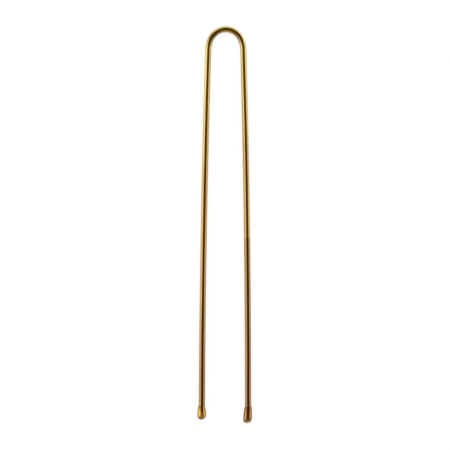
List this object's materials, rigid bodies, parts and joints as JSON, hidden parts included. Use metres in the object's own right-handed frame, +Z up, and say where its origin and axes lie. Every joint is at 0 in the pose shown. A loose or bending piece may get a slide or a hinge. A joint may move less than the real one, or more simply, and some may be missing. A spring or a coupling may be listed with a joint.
{
  "type": "hairpin",
  "caption": "U-shaped hairpin of lacquered round spring wire, with gently bowed legs that flex below the crown and a smooth resin drop dipped on each end.",
  "frame": {"origin": "on the ground under the middle of the pin as it lies flat: halfway between the legs, halfway from the crown's top to the end of the longer drop, and level with the lowest point of the drops", "axes": "+X across the legs, with right_leg on the +X side; +Y along the pin towards the crown; +Z up, square to the plane that the pin lies in"},
  "size_m": [0.0097, 0.07, 0.0016],
  "materials": {
    "wire_lacquer": "hard-drawn steel wire under a thin glossy bronze-gold lacquer, with faint lines along the draw",
    "tip_resin": "dipped glossy resin, gold to amber, smooth as it set"
  },
  "bodies": {
    "crown": {"crown": "wire_lacquer"},
    "left_leg": {"left_leg": "wire_lacquer", "left_tip": "tip_resin"},
    "right_leg": {"right_leg": "wire_lacquer", "right_tip": "tip_resin"}
  },
  "joints": [
    {"name": "left_leg_flex", "type": "hinge", "parent": "crown", "child": "left_leg", "pos_m": [-0.00331, 0.02273, 0.00081], "axis": [0, 0, -1], "range_deg": [-3.15, 6], "stiffness_Nm_per_rad": 0.48},
    {"name": "right_leg_flex", "type": "hinge", "parent": "crown", "child": "right_leg", "pos_m": [0.00331, 0.02273, 0.00081], "axis": [0, 0, 1], "range_deg": [-3.15, 6], "stiffness_Nm_per_rad": 0.48}
  ]
}
